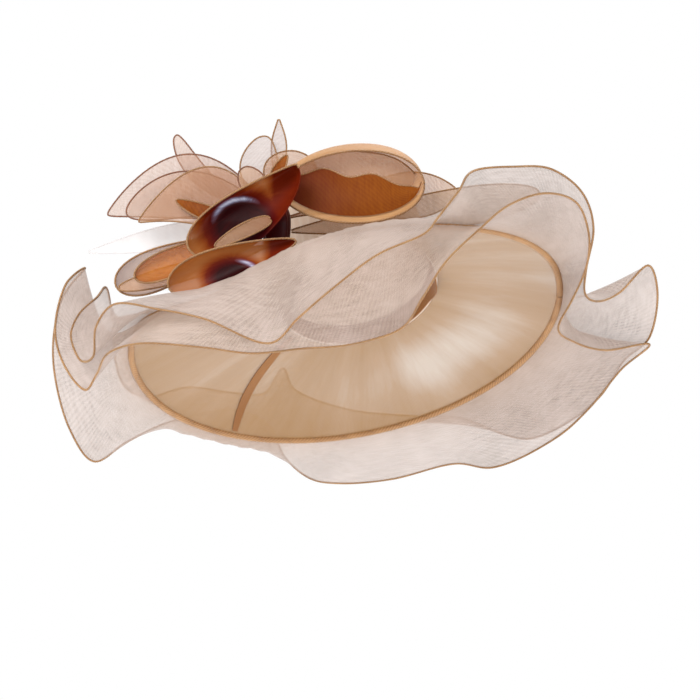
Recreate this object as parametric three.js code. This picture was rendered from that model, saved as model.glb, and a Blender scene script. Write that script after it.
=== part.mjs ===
// Wide-brim dress hat: a domed crown, a wired brim, two wired organza frills
// and a bow of organza loops and petals. Millimetres.
// The hat's own frame has X to the right, Y to the back and Z up the crown, with its origin
// in the middle of the head opening. The whole hat is then leant back and to its left, as worn.

import * as THREE from "three";

// Driving sizes

const LEAN_BACK_DEG = 32;
const LEAN_LEFT_DEG = 9.5;
const CLEARANCE = 0.3; // gap between pieces that touch

const crownSize = {
  halfWidth: 81,
  halfLength: 96,
  height: 105,
  wall: 2,
  topScale: 0.93, // width of the shoulder against the width of the opening
  shoulder: 0.62, // share of the rise that is side wall
};

const headBandSize = { height: 20, wall: 1.2, dipDeg: 2, dipSpread: 14, dip: 10 };

const hoopSize = {
  radius: 216,
  centreX: -17,
  drop: 37, // how far the wire lies below the head opening
  frontDroop: 34,
  leftDroop: 30, // further droop at the front left, centred on leftDroopDeg
  leftDroopDeg: 231,
  leftDroopSpread: 24,
  binding: 3.5, // radius of the bound wire
};

const brimSize = { wall: 1.4, crest: 3 };

const seamSize = { wall: 1, widest: 11, narrow: 6, innerDeg: 141, outerDeg: 124 };

const frillWall = 1.1;

// The lower frill's wired hem, one row for each fold. The columns are the place on the hoop
// that the fold hangs from, the hem's own place round the hoop, both in degrees from the
// right towards the back, then the hem's reach from the hoop's middle and its height.
const lowerHem = [
  [5, 1, 221, -92],
  [11, 9, 259, -84],
  [17, 12, 312, -70],
  [26, 20, 297, -71],
  [38, 32, 290, -81],
  [50, 43, 290, -85],
  [63, 60, 296, -76],
  [75, 67, 288, -60],
  [88, 81, 287, -57],
  [97, 92, 287, -51],
  [105, 98, 282, -45],
  [112, 103, 279, -19],
  [119, 106, 269, 13],
  [128, 115, 256, 23],
  [137, 128, 271, 11],
  [145, 149, 268, -53],
  [150, 153, 297, -72],
  [158, 162, 300, -55],
  [167, 173, 295, -17],
  [175, 182, 286, 5],
  [182, 189, 275, 20],
  [187, 193, 256, 35],
  [191, 196, 282, 6],
  [195, 194, 297, -44],
  [200, 192, 289, -79],
  [205, 193, 274, -107],
  [210, 197, 267, -102],
  [217, 208, 274, -111],
  [226, 217, 266, -125],
  [238, 226, 222, -139],
  [249, 234, 185, -147],
  [258, 249, 168, -154],
  [267, 263, 161, -159],
  [276, 281, 168, -153],
  [284, 284, 218, -152],
  [293, 288, 249, -133],
  [302, 297, 256, -96],
  [312, 307, 257, -57],
  [322, 319, 264, -29],
  [332, 330, 268, -22],
  [340, 337, 261, -42],
  [346, 342, 246, -60],
  [352, 344, 225, -84],
  [358, 348, 205, -100],
];

// The upper frill's hem, with the same columns.
const upperHem = [
  [0, -4, 248, -61],
  [4, 2, 278, -38],
  [8, 0, 311, -17],
  [11, 4, 319, -33],
  [15, 11, 312, -64],
  [24, 19, 299, -64],
  [36, 29, 294, -76],
  [47, 39, 288, -79],
  [57, 49, 284, -72],
  [66, 55, 279, -52],
  [76, 62, 264, -25],
  [88, 73, 254, -8],
  [98, 88, 257, 20],
  [107, 100, 242, 41],
  [113, 105, 208, 47],
  [119, 108, 243, 38],
  [126, 116, 245, 37],
  [135, 128, 251, 38],
  [145, 140, 259, 14],
  [153, 150, 256, 6],
  [161, 160, 244, 11],
  [172, 170, 231, 30],
  [183, 180, 229, 44],
  [194, 193, 250, -1],
  [199, 195, 272, -26],
  [205, 195, 283, -50],
  [208, 196, 279, -82],
  [214, 202, 276, -96],
  [220, 208, 283, -82],
  [228, 214, 279, -75],
  [236, 223, 260, -101],
  [245, 230, 232, -119],
  [254, 242, 194, -152],
  [262, 251, 194, -137],
  [271, 263, 234, -139],
  [280, 273, 260, -128],
  [289, 284, 261, -107],
  [297, 288, 257, -86],
  [304, 294, 256, -54],
  [311, 304, 234, -5],
  [319, 314, 247, 4],
  [327, 323, 262, 9],
  [335, 333, 270, -1],
  [342, 341, 264, -20],
  [348, 344, 246, -54],
  [354, 348, 238, -68],
];

// How each frill leaves the hoop: where its root sits round the bound wire, the way that it
// sets off, and how long it keeps that way in a falling and in a rising fold, as shares of
// the fold's depth.
const lowerRoot = { seatDeg: -12, leaveDeg: -30, carryFalling: 0.02, carryRising: 0.35 };
const upperRoot = { seatDeg: 96, leaveDeg: 10, carryFalling: 0.35, carryRising: 0.12 };

// The bow stands upright on the front left of the brim. Its own frame has X to the right,
// Y to the back and Z up, with its origin in the middle of the gathered core.
const bowPlace = { x: -78.5, y: -111, z: 66 };
const coreSize = { halfWidth: 14, halfDepth: 30, above: 23, below: 42.6 };
const bowSweep = {
  lean: 0.42,
  leanBelow: 0.14, // lean of what hangs below the core's middle
  left: 0.0011, // how fast each end sweeps back
  right: 0.0002,
  ripple: 2.5,
  rippleLength: 19,
};
const petalWall = 1;

// Petals that grow from the core's side: clock angle and depth of the root, then the tip. Width,
// place of the widest part, sideways bend, how far the edges curl forward and how pointed the
// two ends are follow.
const sidePetals = [
  {
    name: "right_wide", deg: 16, depth: 20, tip: [178, 25, 31],
    width: 46, peak: 2.1, bend: 5, cup: 2, pointed: 0.75,
  },
  {
    name: "base_long", deg: -11, depth: 15, tip: [258, 20, 30],
    width: 38, peak: 1.7, bend: -2, cup: 1.6, pointed: 0.5,
  },
  {
    name: "tan_back", deg: 70, depth: 15, tip: [24, 18, 70],
    width: 54, peak: 1.1, bend: 2, cup: 2, pointed: 0.5,
  },
  {
    name: "orange", deg: 98, depth: -16, tip: [10, -16, 66],
    width: 13, peak: 1, bend: 4, cup: 2, pointed: 0.8,
  },
  {
    name: "tall", deg: 106, depth: 20.5, tip: [-15, 23, 87],
    width: 38, peak: 1.1, bend: 8, cup: 2, pointed: 0.5,
  },
  {
    name: "tall_tip", deg: 92, depth: 24.5, tip: [1, 27, 104],
    width: 15, peak: 1.6, bend: -1, cup: 1, pointed: 1.2,
  },
  {
    name: "small_upright", deg: 122, depth: 27.5, tip: [-102, 32, 88],
    width: 19, peak: 2.2, bend: 17, cup: 1, pointed: 0.5,
  },
  {
    name: "round", deg: 124, depth: -11, tip: [-34, -10, 53],
    width: 25, peak: 1.2, bend: 0, cup: 2, pointed: 0.5,
  },
  {
    name: "left_high", deg: 145, depth: 13, tip: [-167, 16, 10],
    width: 64, peak: 0.9, bend: -25, cup: 3, pointed: 0.8,
  },
  {
    name: "left_middle", deg: 150, depth: 6, tip: [-148, 9, 12],
    width: 46, peak: 1.4, bend: -17, cup: 3, pointed: 0.55,
  },
  {
    name: "left_low", deg: 165, depth: -1, tip: [-135, 2, 2],
    width: 60, peak: 0.68, bend: -22, cup: 3, pointed: 0.85,
  },
  {
    name: "pointed", deg: 186, depth: -8, tip: [-98, -6, 22],
    width: 15, peak: 1.3, bend: 3, cup: 2, pointed: 0.7,
  },
  {
    name: "white_spike", deg: 184, depth: 25, tip: [-187, 35, -27],
    width: 26, peak: 0.8, bend: -2, cup: 1, pointed: 0.9,
  },
  {
    name: "low", deg: 215, depth: -17.7, tip: [-153, -16, -64],
    width: 18, peak: 1.4, bend: 2, cup: 1, pointed: 0.5,
  },
];

// The petal that lies between the two front loops, with its root given by its place.
const frontPetal = {
  name: "front_tan", root: [-5, -40, 2], tip: [-58, -53.5, -25],
  width: 14, peak: 0.7, bend: -1.5, cup: 0.4, pointed: 0.55,
};

// Loops of ribbon, each a pouch that is open at the front: the middle's place across and up,
// the way that the loop points, its length and height, how much fuller its far end is, the
// height of its underside against its top, the depths of its rim and its back, how far the back
// is raised, and how it closes: near 0 it keeps its width to the back, at 1 it is round. The
// underside's far end can have a fullness of its own.
const loops = [
  {
    name: "right", at: [74.1, 43], way: 2.5, length: 139, height: 71,
    fuller: 0.1, under: 1, depths: [-30.5, 12], raise: 18, closing: 0.35,
  },
  {
    name: "across", at: [-31, 15], way: 219, length: 132, height: 34,
    fuller: 0.6, under: 2.05, depths: [-52.6, -29.2], raise: 3, closing: 0.5, underFuller: 0.15,
  },
  {
    name: "lower_left", at: [-41, -40], way: 200, length: 130, height: 37,
    fuller: 0.45, under: 0.85, depths: [-66, -53.4], raise: 4, closing: 0.5,
  },
  {
    name: "orange", at: [-75.5, -28], way: 202, length: 132.5, height: 22,
    fuller: 0.8, under: 1, depths: [-29, -18.7], raise: 2, closing: 0.5,
  },
  {
    name: "far_left", at: [-85.6, -32], way: 201, length: 152, height: 32,
    fuller: 0.9, under: 1, depths: [-12, 18], raise: 4, closing: 0.4,
  },
];

// Petals that lie inside the right loop, along its lower side: their depth as a share of the
// loop's and their distance in from its cloth, then the level, slope, end droop and waviness of
// their top line over the loop's middle.
const innerPetals = [
  { name: "inner_low", share: 0.25, inset: 2.3, level: 8, slope: -11, droop: 10, wavy: 3 },
  { name: "inner_high", share: 0.62, inset: 2.8, level: 26, slope: -8, droop: 18, wavy: 0 },
];
const innerFit = {
  belly: 4, // how far the petal's middle comes forward
  endWidth: 0.06,
  lowest: -0.8, // limits of the top line, as shares of the loop's half height
  highest: 0.94,
  waveLength: 0.7, // share of half the loop's length
  waveStart: 0.4,
};

const colours = {
  frill: 0xe4d8d3,
  brim: 0xd8bf9c,
  binding: 0xb27a36,
  orange: 0xb8722e,
  pink: 0xd2b3a0,
  dark: 0x3c1410,
};

const TAU = Math.PI * 2;
const radians = (degrees) => (degrees * Math.PI) / 180;

// Shapes shared by the pieces

// A closed thin sheet: place(u, v) gives its middle surface, with u from 0 to 1 round it or
// across it and v from 0 to 1 along it. A round sheet joins its two sides, and a capped one
// closes to a point at v = 1.
function sheetSolid(place, { cells, rows, wall, round = false, capped = false }) {
  const step = 1e-3;
  const wrap = (u) => (round ? (u + 1) % 1 : Math.min(Math.max(u, 0), 1));
  const hold = (v) => Math.min(Math.max(v, 0), 1);
  const positions = [];
  const across = round ? cells : cells + 1;
  const ringCount = capped ? rows : rows + 1;
  const skin = (side) => {
    const facing = new THREE.Vector3();
    for (let j = 0; j < ringCount; j++) {
      for (let i = 0; i < across; i++) {
        const u = i / cells;
        const v = j / rows;
        const alongU = place(wrap(u + step), v).sub(place(wrap(u - step), v));
        const alongV = place(u, hold(v + step)).sub(place(u, hold(v - step)));
        const normal = alongU.cross(alongV).normalize();
        const point = place(u, v).addScaledVector(normal, (side * wall) / 2);
        positions.push(point.x, point.y, point.z);
        if (j === ringCount - 1) facing.add(normal);
      }
    }
    if (capped) {
      const top = place(0, 1).addScaledVector(facing.normalize(), (side * wall) / 2);
      positions.push(top.x, top.y, top.z);
    }
  };
  skin(1);
  const skinSize = positions.length / 3;
  skin(-1);

  const faces = [];
  const at = (i, j) => j * across + (round ? i % across : i);
  const quad = (a, b, c, d) => faces.push(a, b, c, a, c, d);
  for (let j = 0; j < ringCount - 1; j++) {
    for (let i = 0; i < cells; i++) {
      const [a, b, c, d] = [at(i, j), at(i + 1, j), at(i + 1, j + 1), at(i, j + 1)];
      quad(a, b, c, d);
      quad(a + skinSize, d + skinSize, c + skinSize, b + skinSize);
    }
  }
  const edge = (a, b) => quad(b, a, a + skinSize, b + skinSize);
  for (let i = 0; i < cells; i++) {
    edge(at(i, 0), at(i + 1, 0));
    if (!capped) edge(at(i + 1, ringCount - 1), at(i, ringCount - 1));
    if (capped) {
      const tip = skinSize - 1;
      faces.push(at(i, ringCount - 1), at(i + 1, ringCount - 1), tip);
      faces.push(at(i + 1, ringCount - 1) + skinSize, at(i, ringCount - 1) + skinSize, tip + skinSize);
    }
  }
  if (!round) {
    for (let j = 0; j < ringCount - 1; j++) {
      edge(at(0, j + 1), at(0, j));
      edge(at(cells, j), at(cells, j + 1));
    }
  }
  const geometry = new THREE.BufferGeometry();
  geometry.setAttribute("position", new THREE.Float32BufferAttribute(positions, 3));
  geometry.setIndex(faces);
  geometry.computeVertexNormals();
  return geometry;
}

function piece(name, geometry, colour, roughness = 0.7) {
  const material = new THREE.MeshStandardMaterial({ color: colour, roughness, metalness: 0 });
  const mesh = new THREE.Mesh(geometry, material);
  mesh.name = name;
  return mesh;
}

// Crown and head band

function crownPoint(u, v) {
  const turn = TAU * u;
  const { halfWidth, halfLength, height, topScale, shoulder } = crownSize;
  const side = Math.min(v / shoulder, 1);
  const over = Math.max((v - shoulder) / (1 - shoulder), 0);
  const shoulderHeight = height * 0.66;
  const scale = (1 - (1 - topScale) * side) * Math.cos((over * Math.PI) / 2);
  const rise = shoulderHeight * side + (height - shoulderHeight) * Math.sin((over * Math.PI) / 2);
  return new THREE.Vector3(halfWidth * scale * Math.cos(turn), halfLength * scale * Math.sin(turn), rise);
}

function makeCrown() {
  const shape = { cells: 36, rows: 7, wall: crownSize.wall, round: true, capped: true };
  return piece("crown", sheetSolid(crownPoint, shape), colours.frill);
}

function makeHeadBand() {
  const inset = crownSize.wall / 2 + CLEARANCE + headBandSize.wall / 2;
  const place = (u, v) => {
    const turn = TAU * u;
    const fromDip = ((u * 360 - headBandSize.dipDeg + 540) % 360) - 180;
    const dip = headBandSize.dip * Math.exp(-((fromDip / headBandSize.dipSpread) ** 2));
    const height = -dip * (1 - v) + headBandSize.height * v;
    const taper = 1 - 0.001 * Math.max(height, 0);
    return new THREE.Vector3(
      (crownSize.halfWidth - inset) * taper * Math.cos(turn),
      (crownSize.halfLength - inset) * taper * Math.sin(turn),
      height,
    );
  };
  const shape = { cells: 36, rows: 1, wall: headBandSize.wall, round: true };
  return piece("head_band", sheetSolid(place, shape), colours.binding);
}

// Brim, bound wire and seam

function hoopPoint(turn, outward = 0, up = 0) {
  const front = Math.max(0, -Math.sin(turn)) ** 1.7;
  const degrees = ((turn / TAU) * 360 + 360) % 360;
  const left = Math.exp(-(((degrees - hoopSize.leftDroopDeg) / hoopSize.leftDroopSpread) ** 2));
  const reach = hoopSize.radius + outward;
  const height = -hoopSize.drop - hoopSize.frontDroop * front - hoopSize.leftDroop * left + up;
  return new THREE.Vector3(hoopSize.centreX + reach * Math.cos(turn), reach * Math.sin(turn), height);
}

function brimPoint(u, v, below = 0) {
  const turn = TAU * u;
  const inset = crownSize.wall / 2 + CLEARANCE + 0.1;
  const inner = new THREE.Vector3(
    (crownSize.halfWidth + inset) * Math.cos(turn),
    (crownSize.halfLength + inset) * Math.sin(turn),
    0,
  );
  const outer = hoopPoint(turn, -(hoopSize.binding + CLEARANCE + 0.3), 1);
  const point = inner.lerp(outer, v);
  point.z += brimSize.crest * Math.sin(Math.PI * v) - below;
  return point;
}

function makeBrim() {
  const shape = { cells: 60, rows: 3, wall: brimSize.wall, round: true };
  return piece("brim", sheetSolid((u, v) => brimPoint(u, v), shape), colours.brim);
}

class HoopCurve extends THREE.Curve {
  getPoint(t, target = new THREE.Vector3()) {
    return target.copy(hoopPoint(TAU * t));
  }
}

function makeBinding() {
  const geometry = new THREE.TubeGeometry(new HoopCurve(), 76, hoopSize.binding, 6, true);
  return piece("brim_binding", geometry, colours.binding);
}

// A ribbon down the brim's underside, from the head opening to the bound wire.
function makeSeam() {
  const below = brimSize.wall / 2 + CLEARANCE + seamSize.wall / 2 + 0.3;
  const place = (u, v) => {
    const along = 0.03 + 0.94 * v;
    const middleDeg = seamSize.innerDeg + (seamSize.outerDeg - seamSize.innerDeg) * v;
    const reach = 95 + 115 * along;
    const width = seamSize.narrow + (seamSize.widest - seamSize.narrow) * Math.sin(Math.PI * v);
    const offsetDeg = ((u - 0.5) * width * 180) / (Math.PI * reach);
    return brimPoint((middleDeg + offsetDeg) / 360, along, below);
  };
  const shape = { cells: 2, rows: 10, wall: seamSize.wall };
  return piece("brim_seam", sheetSolid(place, shape), colours.binding);
}

// Frills

// A closed curve through the hem's rows, as a function that gives the root's turn and the hem's
// point at a share of the way round.
function hemCurve(rows) {
  const count = rows.length;
  const hem = rows.map(([, deg, reach, height]) => {
    const turn = radians(deg);
    return new THREE.Vector3(hoopSize.centreX + reach * Math.cos(turn), reach * Math.sin(turn), height);
  });
  const curve = new THREE.CatmullRomCurve3(hem, true, "centripetal");
  const rootDeg = (k) => rows[((k % count) + count) % count][0] + 360 * Math.floor(k / count);
  return (share) => {
    const place = share * count;
    const k = Math.floor(place);
    const f = place - k;
    const [a, b, c, d] = [rootDeg(k - 1), rootDeg(k), rootDeg(k + 1), rootDeg(k + 2)];
    const slopeB = (c - a) / 2;
    const slopeC = (d - b) / 2;
    const deg =
      (2 * f ** 3 - 3 * f ** 2 + 1) * b +
      (f ** 3 - 2 * f ** 2 + f) * slopeB +
      (3 * f ** 2 - 2 * f ** 3) * c +
      (f ** 3 - f ** 2) * slopeC;
    return { turn: radians(deg), point: curve.getPoint(((share % 1) + 1) % 1) };
  };
}

// Each fold runs from its seat on the bound wire in a curve to its place on the hem.
function makeFrill(name, rows, root) {
  const hem = hemCurve(rows);
  const seat = hoopSize.binding + CLEARANCE + frillWall / 2 + 0.15;
  const place = (u, v) => {
    const { turn, point } = hem(u);
    const seatTurn = radians(root.seatDeg);
    const start = hoopPoint(turn, seat * Math.cos(seatTurn), seat * Math.sin(seatTurn));
    const rising = (point.z - start.z) / start.distanceTo(point) / 2 + 0.5;
    const share = root.carryFalling + (root.carryRising - root.carryFalling) * rising;
    const carry = share * start.distanceTo(point);
    const leave = radians(root.leaveDeg);
    const knee = start
      .clone()
      .add(
        new THREE.Vector3(
          carry * Math.cos(leave) * Math.cos(turn),
          carry * Math.cos(leave) * Math.sin(turn),
          carry * Math.sin(leave),
        ),
      );
    return start
      .multiplyScalar((1 - v) ** 2)
      .addScaledVector(knee, 2 * v * (1 - v))
      .addScaledVector(point, v * v);
  };
  const shape = { cells: rows.length * 2, rows: 4, wall: frillWall, round: true };
  return piece(name, sheetSolid(place, shape), colours.frill);
}

// Bow

// The whole bow leans back as it rises, and sweeps back towards its two ends.
function swept(point) {
  const { lean, leanBelow, left, right, ripple, rippleLength } = bowSweep;
  const { x, z } = point;
  const ends = (x < 0 ? left : right) * x * x;
  const wave = ripple * Math.sin(x / rippleLength) * Math.sin(z / rippleLength);
  return new THREE.Vector3(x, point.y + (z > 0 ? lean : leanBelow) * z + ends + wave, z);
}

// A point on the core's side at a depth and a clock angle, lifted off it by a gap.
function corePoint(degrees, depth, gap) {
  const turn = radians(degrees);
  const girth = (1 - Math.abs(depth / coreSize.halfDepth) ** 4) ** 0.25;
  return new THREE.Vector3(
    (coreSize.halfWidth * girth + gap) * Math.cos(turn),
    depth,
    ((turn > 0 && turn < Math.PI ? coreSize.above : coreSize.below) * girth + gap) * Math.sin(turn),
  );
}

function makeCore() {
  const rings = 10;
  const outline = [];
  for (let k = 0; k <= rings; k++) {
    const along = Math.sin(Math.PI * (k / rings - 0.5));
    outline.push(new THREE.Vector2((1 - along ** 4) ** 0.25, coreSize.halfDepth * along));
  }
  const geometry = new THREE.LatheGeometry(outline, 20);
  const spots = geometry.attributes.position;
  for (let i = 0; i < spots.count; i++) {
    const z = spots.getZ(i) * (spots.getZ(i) > 0 ? coreSize.above : coreSize.below);
    spots.setXYZ(i, ...swept(new THREE.Vector3(spots.getX(i) * coreSize.halfWidth, spots.getY(i), z)));
  }
  geometry.computeVertexNormals();
  return piece("bow_core", geometry, colours.dark);
}

function makePetal(petal, root, colour = colours.pink) {
  const tip = new THREE.Vector3(...petal.tip);
  const axis = tip.clone().sub(root);
  const side = new THREE.Vector3(-axis.z, 0, axis.x).normalize();
  const place = (u, v) => {
    const s = 2 * u - 1;
    const along = (1 - Math.cos(Math.PI * v)) / 2;
    const fullness = Math.sin(Math.PI * along ** petal.peak) ** petal.pointed;
    const half = 1 + (petal.width / 2 - 1) * fullness;
    const bend = petal.bend * 4 * along * (1 - along);
    const point = root.clone().addScaledVector(axis, along).addScaledVector(side, bend + s * half);
    point.y -= (petal.cup * s * s * half * 2) / petal.width;
    return swept(point);
  };
  const shape = { cells: 4, rows: 8, wall: petalWall };
  return piece(`petal_${petal.name}`, sheetSolid(place, shape), colour);
}

function makeSidePetal(petal) {
  return makePetal(petal, corePoint(petal.deg, petal.depth, CLEARANCE + 0.45));
}

// A point of a loop's section: across and up run from -1 to 1 over its length and height, scale
// shrinks the section to its middle, share is how far back it lies, and inset is the distance
// in from the loop's cloth.
function loopSection(loop, across, up, scale, share, inset = 0) {
  const [front, back] = loop.depths;
  const way = radians(loop.way);
  const long = new THREE.Vector3(Math.cos(way), 0, Math.sin(way));
  const high = new THREE.Vector3(-Math.sin(way), 0, Math.cos(way));
  if (high.z < 0) high.negate();
  const fuller = up < 0 ? (loop.underFuller ?? loop.fuller) : loop.fuller;
  const tall = ((loop.height / 2) * (1 + fuller * across) - inset) * (up < 0 ? loop.under : 1);
  const middle = new THREE.Vector3(loop.at[0], front + (back - front) * share, loop.at[1]);
  middle.z += loop.raise * (share - 0.5);
  return middle
    .addScaledVector(long, (loop.length / 2 - inset) * scale * across)
    .addScaledVector(high, tall * scale * up);
}

function makeLoop(loop) {
  const place = (u, v) => {
    const turn = TAU * u;
    const inwards = (Math.PI / 2) * v;
    const scale = Math.cos(inwards) ** loop.closing;
    return swept(loopSection(loop, Math.cos(turn), Math.sin(turn), scale, Math.sin(inwards)));
  };
  const shape = { cells: 24, rows: 4, wall: petalWall, round: true, capped: true };
  return piece(`loop_${loop.name}`, sheetSolid(place, shape), colours.orange);
}

function makeInnerPetal({ name, share, inset, level, slope, droop, wavy }) {
  const loop = loops[0];
  const scale = (1 - share ** 2) ** (loop.closing / 2);
  const place = (u, v) => {
    const across = -Math.cos(Math.PI * v);
    const up = Math.max(Math.sin(Math.PI * v), innerFit.endWidth);
    const low = loopSection(loop, across, -up, scale, share, inset);
    const high = loopSection(loop, across, up, scale, share, inset);
    const wave = wavy * Math.cos((TAU * (across + innerFit.waveStart)) / innerFit.waveLength);
    const line = level + slope * across - droop * across ** 4 + wave;
    const height = (2 * line) / low.distanceTo(high);
    const reach = (THREE.MathUtils.clamp(height, innerFit.lowest, innerFit.highest) + 1) / 2;
    const point = low.lerp(high, u * reach);
    point.y -= innerFit.belly * Math.sin(Math.PI * u) * Math.sin(Math.PI * v) ** 2;
    return swept(point);
  };
  const shape = { cells: 4, rows: 12, wall: petalWall };
  return piece(`petal_${name}`, sheetSolid(place, shape), colours.orange);
}

// Assembly

const hat = new THREE.Group();
hat.rotation.set(radians(-LEAN_BACK_DEG), radians(-LEAN_LEFT_DEG), 0);
hat.add(makeCrown(), makeHeadBand(), makeBrim(), makeBinding(), makeSeam());
hat.add(makeFrill("frill_lower", lowerHem, lowerRoot));
hat.add(makeFrill("frill_upper", upperHem, upperRoot));

const bow = new THREE.Group();
bow.position.set(bowPlace.x, bowPlace.y, bowPlace.z);
bow.add(makeCore(), ...sidePetals.map(makeSidePetal));
bow.add(makePetal(frontPetal, new THREE.Vector3(...frontPetal.root), colours.orange));
bow.add(...loops.map(makeLoop), ...innerPetals.map(makeInnerPetal));

const part = new THREE.Group();
part.add(hat, bow);

export default part;
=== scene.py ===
import math

import bpy
import numpy as np
from mathutils import Matrix


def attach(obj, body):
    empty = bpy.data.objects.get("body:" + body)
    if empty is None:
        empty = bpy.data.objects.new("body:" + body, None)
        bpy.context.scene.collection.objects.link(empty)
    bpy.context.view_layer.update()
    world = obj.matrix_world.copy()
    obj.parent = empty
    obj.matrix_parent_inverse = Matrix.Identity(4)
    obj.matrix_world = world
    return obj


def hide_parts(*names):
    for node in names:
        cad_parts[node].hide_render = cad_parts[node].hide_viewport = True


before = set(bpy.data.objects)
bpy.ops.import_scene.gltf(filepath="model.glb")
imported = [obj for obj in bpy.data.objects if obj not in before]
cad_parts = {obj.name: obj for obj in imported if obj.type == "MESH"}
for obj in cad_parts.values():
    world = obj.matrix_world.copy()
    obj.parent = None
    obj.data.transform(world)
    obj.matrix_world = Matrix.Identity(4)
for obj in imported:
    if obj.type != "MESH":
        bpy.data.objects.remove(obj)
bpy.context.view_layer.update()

mm = 0.001
fullTurn = 2 * math.pi
hatLean = {"backDeg": 32, "leftDeg": 9.5}
hatTurn = np.array(
    Matrix.Rotation(math.radians(-hatLean["backDeg"]), 3, "X")
    @ Matrix.Rotation(math.radians(-hatLean["leftDeg"]), 3, "Y")
)


def leant(points):
    # from millimetres about the hat's own upright axis to the frame
    return points @ hatTurn.T * mm


def hump(share, power=1):
    # 0 at both ends and 1 in the middle
    return np.sin(math.pi * np.clip(share, 0, 1)) ** power


def bell(distance, spread):
    return np.exp(-((distance / spread) ** 2))


def degreesFrom(start, degrees):
    # how far round from start, between -180 and 180
    return (degrees - start + 540) % 360 - 180


def folds(u, v, count, sway=0, sways=0, slant=0):
    # waves round the hat, which bunch up here and there and may slant along the cloth
    return np.sin(fullTurn * count * u + sway * np.sin(fullTurn * sways * u) + slant * v)


# View, light and floor

view = {
    "place": (-0.007, -4.0, -0.058), "lens": 205.7, "sensor": 36, "farthest": 200, "sheerLayers": 40,
}
floorLook = {
    "height": -0.42, "reach": 60.0, "white": 0.9, "roughness": 0.9, "glow": 0.42, "seen": 1.0,
}
lamps = [
    {"name": "keyLamp", "place": (-1.5, -1.9, 1.9), "size": 1.6, "power": 62},
    {"name": "fillLamp", "place": (1.9, -1.5, 0.5), "size": 1.8, "power": 17},
    {"name": "backLamp", "place": (0.5, 1.9, 1.6), "size": 1.4, "power": 24},
]
worldLook = {"seen": 1.0, "lighting": 0.62}


def addObject(name, data):
    piece = bpy.data.objects.new(name, data)
    bpy.context.scene.collection.objects.link(piece)
    return piece


def makeCamera():
    lens = bpy.data.cameras.new("camera")
    lens.lens = view["lens"]
    lens.sensor_width = view["sensor"]
    lens.clip_end = view["farthest"]
    camera = addObject("camera", lens)
    camera.location = view["place"]
    camera.rotation_euler = (math.pi / 2, 0, 0)
    bpy.context.scene.camera = camera


def makeLamps():
    for row in lamps:
        lamp = bpy.data.lights.new(row["name"], "AREA")
        lamp.energy = row["power"]
        lamp.size = row["size"]
        holder = addObject(row["name"], lamp)
        place = Matrix.Translation(row["place"])
        aim = (-place.translation).to_track_quat("-Z", "Y").to_matrix().to_4x4()
        holder.matrix_world = place @ aim


def cameraRay(tree):
    return tree.nodes.new("ShaderNodeLightPath").outputs["Is Camera Ray"]


def makeWorld():
    world = bpy.data.worlds.new("studio")
    bpy.context.scene.world = world
    world.use_nodes = True
    tree = world.node_tree
    background = tree.nodes["Background"]
    mix = tree.nodes.new("ShaderNodeMix")
    mix.inputs[2].default_value = worldLook["lighting"]
    mix.inputs[3].default_value = worldLook["seen"]
    tree.links.new(cameraRay(tree), mix.inputs[0])
    tree.links.new(mix.outputs[0], background.inputs["Strength"])
    background.inputs["Color"].default_value = (1, 1, 1, 1)


def makeFloor():
    # pale paper that shows as the same white as the studio behind it
    reach, height, white = floorLook["reach"], floorLook["height"], floorLook["white"]
    mesh = bpy.data.meshes.new("floor")
    sides = ((-1, -1), (1, -1), (1, 1), (-1, 1))
    mesh.from_pydata([(reach * x, reach * y, height) for x, y in sides], [], [(0, 1, 2, 3)])
    floor = addObject("floor", mesh)
    material = bpy.data.materials.new("palePaper")
    material.use_nodes = True
    tree = material.node_tree
    shader = tree.nodes["Principled BSDF"]
    shader.inputs["Base Color"].default_value = (white, white, white, 1)
    shader.inputs["Roughness"].default_value = floorLook["roughness"]
    shader.inputs["Emission Color"].default_value = (1, 1, 1, 1)
    shader.inputs["Emission Strength"].default_value = floorLook["glow"]
    seen = tree.nodes.new("ShaderNodeEmission")
    seen.inputs["Strength"].default_value = floorLook["seen"]
    mix = tree.nodes.new("ShaderNodeMixShader")
    tree.links.new(cameraRay(tree), mix.inputs[0])
    tree.links.new(shader.outputs[0], mix.inputs[1])
    tree.links.new(seen.outputs[0], mix.inputs[2])
    tree.links.new(mix.outputs[0], tree.nodes["Material Output"].inputs["Surface"])
    mesh.materials.append(material)


makeCamera()
makeLamps()
makeWorld()
makeFloor()
scene = bpy.context.scene
scene.view_settings.view_transform = "Standard"
scene.view_settings.look = "None"
scene.cycles.transparent_max_bounces = view["sheerLayers"]
print("camera, lamps and floor are set")


# Materials

def colour(red, green, blue):
    def linear(value):
        value = value / 255
        return value / 12.92 if value <= 0.04045 else ((value + 0.055) / 1.055) ** 2.4

    return (linear(red), linear(green), linear(blue), 1)


sheenRoughness = 0.4


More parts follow.
